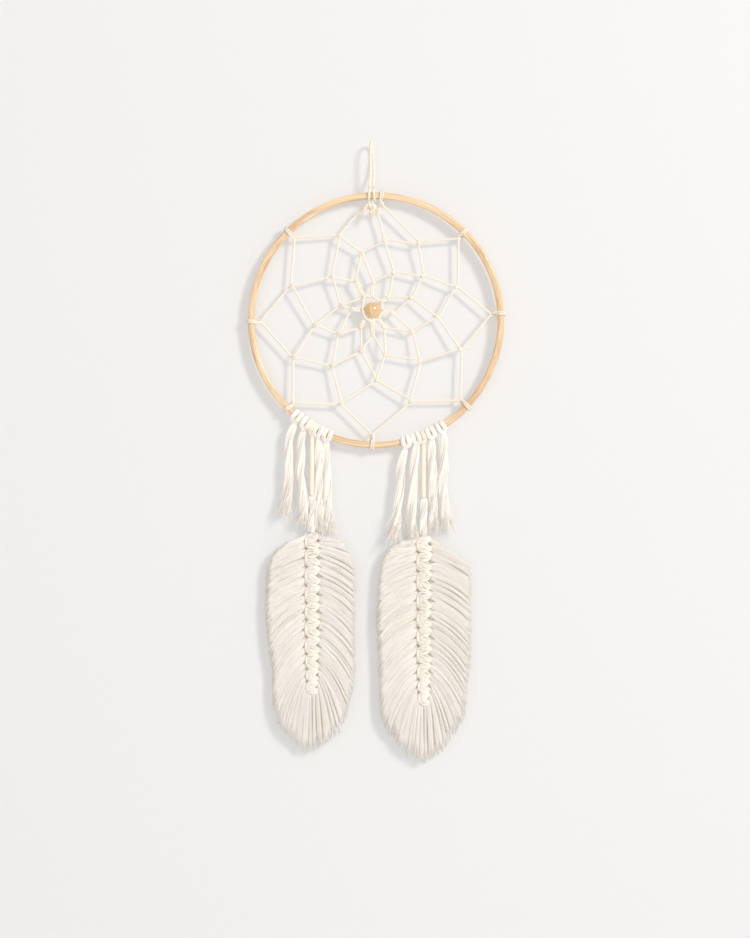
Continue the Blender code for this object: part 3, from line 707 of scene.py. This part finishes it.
def make_loop(finish):
    """The hanging loop, its hitch round the hoop, and the knot below with its frayed tails."""
    line = through(loop_points(), 130)
    cotton = Cotton(21)
    radius = LOOP_CORD / 2 * 0.97
    cotton.add(line, radius, **LOOP_CORD_SHAPE)
    loop = cotton.finish("hanging_loop_cord", finish, "hanger", "hanger_cotton", "hanging_loop")

    centre = HOOP_CENTRE + UP * HOOP_RADIUS
    centre[0] = LOOP_X
    half, cotton = LOOP_SPREAD / 2, Cotton(22)
    for side in (-half, half):
        rise = np.linspace(HITCH_RISE, 0.5 * MM, 6)[:, None] * UP
        lean = np.linspace(1.0, 1.15, 6)[:, None] * (side, 0, 0)
        front = centre + (0, -HITCH_RADIUS, 0) + lean + rise
        turn = np.radians(np.arange(180, 421, 15))
        lean = np.interp(turn, np.radians((180, 270, 420)), (1.2, 1.6, 1.0))[:, None] * (side, 0, 0)
        ring = centre + lean + HITCH_RADIUS * arc(turn, -FRONT, UP)
        cotton.add(np.vstack([front, ring]), radius, **LOOP_CORD_SHAPE)
    cotton.finish("loop_hitch_turns", finish, "hitch", "hanger_cotton", "loop_hitch")

    top = np.array((LOOP_X, 0, HOOP_CENTRE[2] + HOOP_RADIUS))
    line = through(top + in_mm(KNOT_ROUTE) * (1, 1, -1), 60)
    widths = np.interp(np.linspace(0, 1, 60), np.linspace(0, 1, len(KNOT_WIDTHS)), KNOT_WIDTHS) * MM
    cotton = Cotton(23)
    cotton.add(line, widths / 2, sides=10, lobes=2, lobe_depth=0.12, pitch=KNOT_PITCH)
    for x in (0.0, 2.6):
        turn_line = through(top + in_mm(np.array(KNOT_OVER) + (x, 0, 0)) * (1, 1, -1), 24)
        cotton.add(turn_line, 0.85 * MM, sides=8, lobes=2, lobe_depth=0.1, pitch=KNOT_PITCH)
    for tip, direction, count, reach in ((line[-1], (0.05, -0.1, -1), 44, 4.6),
                                         (line[0], (-0.55, -0.05, -1), 26, 4.2)):
        root = tip - unit(np.array(direction)) * 2 * MM
        fray(cotton, root, direction, 1.1 * MM, count, reach * MM, splay=0.30, thick=0.20 * MM)
    cotton.finish("loop_knot_and_tails", finish, "hitch", "hanger_cotton", "loop_knot")


def fray(cotton, start, direction, radius, count, reach, splay, thick):
    """Loose fibres that start inside a bundle's end and fan out past it."""
    rng = cotton.rng
    along = unit(np.asarray(direction, float))
    across = unit(np.cross(along, (0.0, 1.0, 0.0)))
    other = np.cross(along, across)
    share = np.linspace(0, 1, 7)[None, :, None]
    angle, out = rng.uniform(0, math.tau, count), np.sqrt(rng.random(count))
    root = start + radius * out[:, None] * arc(angle, across, other)
    lean = splay * (rng.normal(0, 0.6, (count, 1)) * across + 0.35 * rng.normal(0, 0.6, (count, 1)) * other
                    + out[:, None] * arc(angle, across, 0.5 * other))
    length = reach * rng.uniform(0.45, 1.0, (count, 1, 1))
    wave = np.sin(math.tau * (share * rng.uniform(0.6, 1.5, (count, 1, 1)) + rng.random((count, 1, 1))))
    lines = (root[:, None] + length * share * along + length * share**1.6 * lean[:, None]
             + 0.35 * MM * share * wave * across)
    cotton.add(lines, thick * (1 - 0.55 * share[..., 0]), sides=3)


def make_head(name, angle_deg, tail_top, finish):
    """A strand's hitch: its two bands come over the hoop's front side by side and meet at the tail."""
    place, inwards, clockwise = on_hoop(angle_deg)
    cotton = Cotton(int(-angle_deg * 10))
    for side in (-1, 1):
        turn = np.radians([235, 265, 300, 330, 360, 390, 420, 450, 480, 510])
        apart = side * in_mm([0.8, 1.4, 1.9, 2.05, 2.05, 2.05, 2.15, 2.35, 2.25, 1.5])[:, None]
        reach = in_mm([3.9, 4.0, 4.05, 4.05, 4.05, 4.05, 4.05, 4.05, 4.1, 4.3])[:, None]
        ring = place + reach * arc(turn, inwards, FRONT) + apart * clockwise
        foot = tail_top + in_mm((side * 0.9, -0.7, 0.4))
        line = through([*ring, foot], 34)
        cotton.add(line, 1.15 * MM, sides=8)
        yarns = bundle(line, 1.45 * MM, 13, 0.25 * side, cotton.rng, flat=(1.28, 0.75), wander=0.05)
        cotton.add(yarns, BAND_YARN, sides=4)
    cotton.finish(f"{name}_hitch_bands", finish, "hoop", "fringe_cotton", f"{name}_head")


def make_strand(name, angle_deg, drops, yarn_count, finish, seed):
    """One fringe strand: its hitch on the hoop, the hanging bundle of yarns and the frayed end."""
    place = on_hoop(angle_deg)[0]
    points = place + in_mm([(x, 0, -down) for x, down in drops])
    make_head(name, angle_deg, points[0], finish)
    root = place + in_mm((drops[0][0] * 0.5, 0, -TAIL_ROOT))
    line = through([root, *points], 46)
    cotton, rng = Cotton(seed), np.random.default_rng(seed)
    share = np.linspace(0, 1, len(line))
    bulge = 1 + 0.07 * np.sin(math.tau * (share * rng.uniform(1.1, 1.9) + rng.random()))
    radius = np.interp(share, *TAIL_RADII) * MM * bulge
    # painted shade: the plain core seen between the yarns takes the full crease shade
    cotton.add(line, radius * CORE_SHARE, sides=10, tint=DEEP_SHADE)
    turns = rng.uniform(0.6, 0.95)
    for ply in bundle(line, radius * 0.72, 3, turns, rng, flat=(1.05, 0.85), wander=0.05):
        yarns = bundle(ply, radius * 0.46, yarn_count // 3, 0.5, rng)
        cotton.add(yarns, TAIL_YARN * np.interp(share, (0, 0.9, 1), (1, 1, 0.6)), sides=4)
    tail = cotton.finish(f"{name}_yarns", finish, name, "fringe_cotton", f"{name}_tail")
    ends = Cotton(seed + 50)
    direction = unit(line[-1] - line[-6])
    for tuft in bundle(line[-9:], 2.3 * MM, 10, 0.1, ends.rng):
        lean = direction + (tuft[-1] - line[-1]) / (7 * MM) + ends.rng.normal(0, 0.12, 3) * (1, 0.3, 0)
        fray(ends, tuft[0], lean, 0.8 * MM, 16, ends.rng.uniform(15, 21) * MM, splay=0.07, thick=FRAY_FIBRE)
    fray(ends, line[-17], direction, 3.0 * MM, 46, 25 * MM, splay=0.24, thick=0.16 * MM)
    frayed = ends.finish(f"{name}_frayed_end", finish, name, "fringe_cotton")


class FeatherSide:
    """One side of a feather, as (outwards, down) in mm from the first knot. The spine is cut into a part for each
    row, and the edge is shared out among the rows."""

    def __init__(self, edge, knots):
        self.edge = np.asarray(edge, float)
        self.run = run_lengths(self.edge)
        middles = [(a + b) / 2 for a, b in zip(knots, knots[1:])]
        self.spine = np.array([knots[0] - 5.0, *middles, knots[-1] + 6.0])
        rest = (1 - FIRST_ROW_SHARE) / (len(knots) - 1)
        self.shares = np.array([0, *[FIRST_ROW_SHARE + rest * i for i in range(len(knots))]])

    def curve(self, row):
        """For rows, whole or in between: the curve's start at the spine, its bend and its end on the edge."""
        ranks = np.arange(len(self.spine))
        at = np.interp(row, ranks, self.shares) * self.run[-1]
        end = np.stack([np.interp(at, self.run, self.edge[:, i]) for i in range(2)], axis=-1)
        down = np.interp(row, ranks, self.spine)
        level = np.interp(row, (0, len(ranks) - 1.6, len(ranks) - 1), (4.4, 4.4, 0.6))
        start = np.stack([level, down], axis=-1)
        middle = np.stack([start[:, 0] + 0.55 * (end[:, 0] - start[:, 0]),
                           start[:, 1] + 0.22 * (end[:, 1] - start[:, 1])], axis=-1)
        return start, middle, end

    def edge_length(self, row):
        return (self.shares[row + 1] - self.shares[row]) * self.run[-1]


def comb_row(cotton, side, sign, row, x, top, combed, clumps, pull, ridge):
    """The combed yarns of one side of a row: in front, behind, and a fatter backing between, darkened as painted
    shade. clumps is how many tufts they gather in, pull how far they gather, and ridge how deep the valleys between
    tufts are."""
    rng = cotton.rng
    offset = rng.random()
    count = int(side.edge_length(row) * combed.yarns_per_mm)
    backing = max(14, int(side.edge_length(row) * 1.2))
    for kind, number in (("front", count // 2), ("back", count // 2), ("middle", backing)):
        between = kind == "middle"
        jitter = rng.random(number) * (0.2 if between else 1)
        share = (np.arange(number) + jitter) / number * 1.06 - 0.03
        start, middle, end = side.curve(row + share)
        high, low = side.spine[row:row + 2]
        lump = high + (low - high) * np.where(share < 0.5, *LUMPS)
        pinch = (lump - start[:, 1]) * (0 if between else rng.uniform(0.50, 0.74))
        tufts = np.minimum(rng.normal(-0.012, 0.032, int(side.edge_length(row) / 1.7) + 2), 0.004)
        cut = tufts[(np.clip(share, 0, 1) * (len(tufts) - 1)).astype(int), None, None]
        uneven = 1 + np.minimum(rng.normal(-0.008, 0.028, (number, 1, 1)), 0.015)
        t = (BACKING_LENGTH if between else 1 + cut) * np.linspace(0, 1, 11)[None, :, None] ** 1.2 * uneven
        warped = share * clumps + 0.35 * np.sin(math.tau * (share * 0.8 + offset)) + offset
        part = warped % 1
        centre = share + (0.5 - part) / clumps
        _, clump_middle, clump_end = side.curve(row + centre)
        gather = 0 if between else pull
        end = end + (clump_end - end) * gather
        middle = middle + (clump_middle - middle) * gather * 0.5
        flat = start[:, None] * (1 - t) ** 2 + 2 * middle[:, None] * t * (1 - t) + end[:, None] * t**2
        t = t[..., 0]
        wave = np.sin(math.tau * (t * rng.uniform(0.7, 1.6, (number, 1)) + rng.random((number, 1))))
        curl = rng.normal(0, 0.9, (number, 1)) * np.clip(t - 0.82, 0, None) ** 1.2 * 9
        flat[..., 1] += 0.28 * t * wave + curl + pinch[:, None] * np.clip(1 - t / PINCH_END, 0, 1) ** 1.4
        hump = np.sqrt(np.clip(1 - (2 * share - 1) ** 2, 0, 1))[:, None]
        clump_hump = np.sqrt(np.clip(1 - (2 * part - 1) ** 2, 0, 1))[:, None]
        thick = np.interp(t, *COMB_THICKNESS)
        layer = {"front": -1, "back": 1, "middle": 0}[kind] * rng.uniform(0.5, 1.0, (number, 1)) ** 0.5
        depth = layer * thick * (1 - ridge * 1.4 * (1 - hump) - ridge * (1 - clump_hump))
        lines = np.stack([x + sign * flat[..., 0] * MM, depth * MM, top - flat[..., 1] * MM], axis=-1)
        taper = np.interp(t, (0, 0.15, 0.92, 1), (1.3 if between else 0.8, 1, 1, 0.65))
        radii = combed.yarn_radius * taper * (BACKING_FATNESS if between else 1)
        # painted shade: the backing's yarns are darkened toward the crease shade
        cotton.add(lines, radii, sides=3, tint=BACKING_SHADE_TINT if between else None)


def tie_knot(cotton, x, z, height, width, slope):
    """One lump of a square knot: a flat band of yarns across the front and another behind, that slope by a share
    of the height."""
    half = width / 2
    for face in (-1, 1):
        tilt, reach = slope * height * face, KNOT_REACH * face
        inner, outer = -face * 0.6 * MM, face * 1.2 * MM
        line = through([(x - half + 0.3 * MM, inner, z + tilt), (x - half, outer, z + tilt),
                        (x - half * 0.5, reach * 0.84, z + tilt * 0.5), (x, reach * 0.92, z),
                        (x + half * 0.5, reach * 0.84, z - tilt * 0.5), (x + half, outer, z - tilt),
                        (x + half - 0.3 * MM, inner, z - tilt)], 18)
        # painted shade: the knot's core seen between its yarns takes the full crease shade
        cotton.add(line, 0.9 * MM, sides=8, tint=DEEP_SHADE)
        rounded = np.interp(np.linspace(0, 1, len(line)),
                            (0, 0.16, 0.34, 0.66, 0.84, 1), (0.2, 0.38, 1, 1, 0.38, 0.2))
        yarns = bundle(line, height * 0.5 * rounded, 17, 0.3, cotton.rng, flat=(1.0, 0.30), wander=0.08)
        # painted shade: the knot's yarns are darkened toward the crease shade
        cotton.add(yarns, KNOT_YARN, sides=4, tint=SHADED)


def knot_turn(cotton, x, high, low):
    """The short turn between a row's two lumps, on the knot's left."""
    middle, rise = (high + low) / 2, (high - low) * 0.75
    line = through([(x + across * MM, out * MM, middle + rise * share) for across, out, share in (
        (0.8, -1.1, 1), (0, -2.2, 0.6), (-0.5, -2.6, 0), (0, -2.2, -0.6), (0.8, -1.1, -1))], 12)
    # painted shade: the turn's yarns are darkened like the knots
    cotton.add(bundle(line, 0.55 * MM, 6, 0.2, cotton.rng, wander=0.05), BAND_YARN, sides=4, tint=SHADED)


def make_feather(name, facts, combed, cotton_mat, cord_mat, seed):
    """A feather with its hanger: hitch, smooth cord, soft neck, spine cord, knots and ten combed rows."""
    place, inwards, _ = on_hoop(facts["angle"])
    x, end, top = place[0], facts["hanger_end"] * MM, facts["first_knot"] * MM
    turn = np.radians([235, 270, 300, 330, 360, 390, 420, 450, 480, 505])
    ring = place + 3.85 * MM * arc(turn, inwards, FRONT)
    start = np.array((x, 0.0, place[2] - HANGER_DROP))
    band = through([*ring, start + (0, -1.6 * MM, 1.2 * MM), start + (0, -0.6 * MM, 0)], 36)
    cotton = Cotton(seed)
    cotton.add(bundle(band, 1.2 * MM, 9, 0.0, cotton.rng, flat=(1.0, 0.6), wander=0.02), 0.6 * MM, sides=6)
    cotton.finish(f"{name}_hanger_hitch_band", cord_mat, "hoop", "hanger_cotton", f"{name}_feather_hitch")

    line = evenly([start, (x, 0, end)], 40)
    cotton = Cotton(seed + 1)
    cotton.add(line, HANGER_CORD / 2, sides=16, lobes=8, lobe_depth=0.03, pitch=40 * MM)
    hanger = cotton.finish(f"{name}_smooth_cord", cord_mat, f"{name}_hanger", "hanger_cotton",
                           f"{name}_hanger_cord")

    body = f"{name}_feather"
    neck_top, spine_top = end - GAP, top + 5.4 * MM
    line = through([(x, 0, neck_top), (x + 0.5 * MM, 0, neck_top - 9 * MM), (x - 0.3 * MM, 0, neck_top - 19 * MM),
                    (x, 0, spine_top)], 26)
    share = np.linspace(0, 1, len(line))
    radius = np.interp(share, *NECK_RADII) * MM
    cotton = Cotton(seed + 2)
    cotton.add(line, radius * CORE_SHARE, sides=10)
    for ply in bundle(line, radius * 0.6, 3, 0.55, cotton.rng, wander=0.05):
        cotton.add(bundle(ply, radius * 0.55, 13, 0.4, cotton.rng), BAND_YARN, sides=4)
    cotton.finish(f"{name}_neck_yarns", cotton_mat, body, "feather_cotton", f"{name}_feather_neck")

    knots = [drop * facts["stretch"] for drop in ROW_DROPS]
    bottom = top - (knots[-1] + 9.0) * MM
    line = evenly([(x, 0, spine_top), (x, 0, bottom)], 60)
    cotton = Cotton(seed + 3)
    cotton.add(bundle(line, SPINE_DIAMETER / 2, 8, 4, cotton.rng), 0.6 * MM, sides=5)
    cotton.finish(f"{name}_spine_yarns", cotton_mat, body, "feather_cotton", f"{name}_spine_cord")

    sides = [(FeatherSide(facts["left_edge"], knots), -1), (FeatherSide(facts["right_edge"], knots), 1)]
    for row in range(len(knots)):
        cotton = Cotton(seed * 100 + row)
        for side, sign in sides:
            clumps, pull, ridge = (3.7, 0.13, 0.12) if sign < 0 else (2.3, 0.30, 0.25)
            comb_row(cotton, side, sign, row, x, top, combed, clumps + (3 if row == 0 else 0), pull, ridge)
        high, low = sides[0][0].spine[row:row + 2]
        width = np.interp(row, *KNOT_WIDTH)
        levels = [top - (high + (low - high) * part) * MM for part in LUMPS]
        for level, slope in zip(levels, LUMP_SLOPES):
            tie_knot(cotton, x, level, (low - high) * 0.58 * MM, width * cotton.rng.uniform(0.94, 1.06) * MM, slope)
        knot_turn(cotton, x - width * 0.38 * MM, *levels)
        cotton.finish(f"{name}_combed_row_{row + 1:02d}", cotton_mat, body, "feather_cotton",
                      f"{name}_feather_row_{row + 1:02d}")


def make_stage(settings):
    """A plain pale wall and floor, soft light from the upper right, and the camera in front."""
    made, tree, shader = new_finish("painted_wall")
    fed(tree, shader, {
        "Base Color": (*settings.wall, 1), "Emission Color": GLOW_COLOUR, "Emission Strength": settings.wall_glow,
        "Roughness": 0.9, "Specular IOR Level": 0.1})
    clear = tree.nodes.new("ShaderNodeBsdfTransparent")
    facing = tree.nodes.new("ShaderNodeNewGeometry")
    choose = fed(tree, tree.nodes.new("ShaderNodeMixShader"), {
        0: facing.outputs["Backfacing"], 1: shader.outputs[0], 2: clear.outputs[0]})
    fed(tree, tree.nodes["Material Output"], {"Surface": choose.outputs[0]})
    for name, place, turn in (("studio_wall", (0, settings.wall_gap, 0), (math.pi / 2, 0, 0)),
                              ("studio_floor", (0, 0, FLOOR_LEVEL), (0, 0, 0))):
        deselect()
        bpy.ops.mesh.primitive_plane_add(size=WALL_SIZE, location=place, rotation=turn)
        at_origin(bpy.context.object, name, made)
    aim = Vector((HOOP_CENTRE[0], 0, -0.25))
    for name, place, size, power in (("key", (2.0, -2.4, 1.05), 0.70, settings.key_power),
                                     ("soft_front", (-1.3, -3.2, 0.3), 2.4, settings.key_power * 0.18)):
        bpy.ops.object.light_add(type="AREA", location=place)
        lamp = bpy.context.object
        lamp.name, lamp.data.size, lamp.data.energy = name, size, power
        lamp.data.color = LAMP_COLOUR
        lamp.rotation_euler = (aim - Vector(place)).to_track_quat("-Z", "Y").to_euler()
    world = bpy.data.worlds.new("studio")
    world.use_nodes = True
    fed(world.node_tree, world.node_tree.nodes["Background"], {"Color": SKY_COLOUR, "Strength": settings.fill})
    bpy.context.scene.world = world
    bpy.context.scene.view_settings.view_transform = "Standard"
    bpy.ops.object.camera_add(location=CAMERA_PLACE, rotation=(math.pi / 2, 0, 0))
    camera = bpy.context.object
    camera.data.lens, camera.data.sensor_width = CAMERA_LENS, 36
    bpy.context.scene.camera = camera


# ---------------------------------------------------------------- operators

def settings_of(context):
    return context.scene.dream_catcher


def finish_named(name):
    return bpy.data.materials[name]


class DREAMCATCHER_OT_finishes(bpy.types.Operator):
    """Make the shared effects, and the wood and cotton finishes"""
    bl_idname = "dream_catcher.finishes"
    bl_label = "Finishes"

    def execute(self, context):
        wood, cotton = settings_of(context).wood, settings_of(context).cotton
        fibre_streaks()
        soft_mottle()
        wood_grain()
        wood_finish("hoop_wood_satin", wood.hoop_light, wood.hoop_dark, 0.95, 0.12, hoop_grain)
        wood_finish("bead_wood_varnished", wood.bead_light, wood.bead_dark, 1.0, 1.0, bead_grain)
        cotton_finish("web_waxed_cotton", cotton.web, cotton.crease_shade, 0.35, 260, 5, 0.65, 0.1, 0.08 * MM)
        cotton_finish("fringe_loose_cotton", cotton.fringe, cotton.crease_shade, 0.42, 90, 4, 0.95, 0.25, 0.08 * MM)
        cotton_finish("feather_combed_cotton", cotton.feather, cotton.crease_shade, 0.55, 70, 3, 0.95, 0.25, 0.06 * MM)
        cotton_finish("hanger_smooth_cotton", cotton.hanger, cotton.crease_shade, 0.22, 60, 14, 0.75, 0.15, 0.08 * MM)
        return {"FINISHED"}


class DREAMCATCHER_OT_hoop(bpy.types.Operator):
    """Bend the wooden hoop"""
    bl_idname = "dream_catcher.hoop"
    bl_label = "Hoop"

    def execute(self, context):
        make_hoop(settings_of(context).wood, finish_named("hoop_wood_satin"))
        return {"FINISHED"}


class DREAMCATCHER_OT_bead(bpy.types.Operator):
    """Turn the centre bead"""
    bl_idname = "dream_catcher.bead"
    bl_label = "Centre bead"

    def execute(self, context):
        make_bead(finish_named("bead_wood_varnished"))
        return {"FINISHED"}


class DREAMCATCHER_OT_web(bpy.types.Operator):
    """Tie the web's cord round the hoop and to itself"""
    bl_idname = "dream_catcher.web"
    bl_label = "Web"

    def execute(self, context):
        make_web(settings_of(context).cotton, finish_named("web_waxed_cotton"))
        return {"FINISHED"}


class DREAMCATCHER_OT_loop(bpy.types.Operator):
    """Tie the hanging loop on the hoop"""
    bl_idname = "dream_catcher.loop"
    bl_label = "Hanging loop"

    def execute(self, context):
        make_loop(finish_named("hanger_smooth_cotton"))
        return {"FINISHED"}


class DREAMCATCHER_OT_fringe(bpy.types.Operator):
    """Hitch the eight cotton strands on the hoop"""
    bl_idname = "dream_catcher.fringe"
    bl_label = "Fringe"

    def execute(self, context):
        finish = finish_named("fringe_loose_cotton")
        for i, (name, (angle, drops)) in enumerate(STRANDS.items()):
            make_strand(name, angle, drops, settings_of(context).combed.tail_yarns, finish, 301 + i)
        return {"FINISHED"}


class DREAMCATCHER_OT_feathers(bpy.types.Operator):
    """Hang the two knotted and combed cotton feathers"""
    bl_idname = "dream_catcher.feathers"
    bl_label = "Feathers"

    def execute(self, context):
        for i, (name, facts) in enumerate(FEATHERS.items()):
            make_feather(name, facts, settings_of(context).combed, finish_named("feather_combed_cotton"),
                         finish_named("hanger_smooth_cotton"), 401 + 10 * i)
        return {"FINISHED"}


class DREAMCATCHER_OT_stage(bpy.types.Operator):
    """Set the wall, the floor, the lights and the camera"""
    bl_idname = "dream_catcher.stage"
    bl_label = "Stage"

    def execute(self, context):
        make_stage(settings_of(context).stage)
        return {"FINISHED"}


class DREAMCATCHER_PT_pieces(bpy.types.Panel):
    """The pieces of the dream catcher, in the order in which they are made"""
    bl_label = "Dream catcher"
    bl_space_type = "VIEW_3D"
    bl_region_type = "UI"
    bl_category = "Dream catcher"

    def draw(self, context):
        for operator in OPERATORS:
            self.layout.operator(operator.bl_idname)


OPERATORS = (DREAMCATCHER_OT_stage, DREAMCATCHER_OT_finishes, DREAMCATCHER_OT_loop, DREAMCATCHER_OT_fringe,
             DREAMCATCHER_OT_feathers, DREAMCATCHER_OT_web, DREAMCATCHER_OT_hoop, DREAMCATCHER_OT_bead)
CLASSES = (WoodSettings, CottonSettings, CombedSettings, StageSettings, DreamCatcherSettings, *OPERATORS,
           DREAMCATCHER_PT_pieces)


def register():
    for c in CLASSES:
        bpy.utils.register_class(c)
    bpy.types.Scene.dream_catcher = PointerProperty(type=DreamCatcherSettings)


def unregister():
    del bpy.types.Scene.dream_catcher
    for c in reversed(CLASSES):
        bpy.utils.unregister_class(c)


def main():
    register()
    bpy.ops.dream_catcher.stage()
    bpy.ops.dream_catcher.finishes()
    bpy.ops.dream_catcher.loop()
    bpy.ops.dream_catcher.fringe()
    bpy.ops.dream_catcher.feathers()
    bpy.ops.dream_catcher.web()
    bpy.ops.dream_catcher.hoop()
    bpy.ops.dream_catcher.bead()


if __name__ == "__main__":
    main()
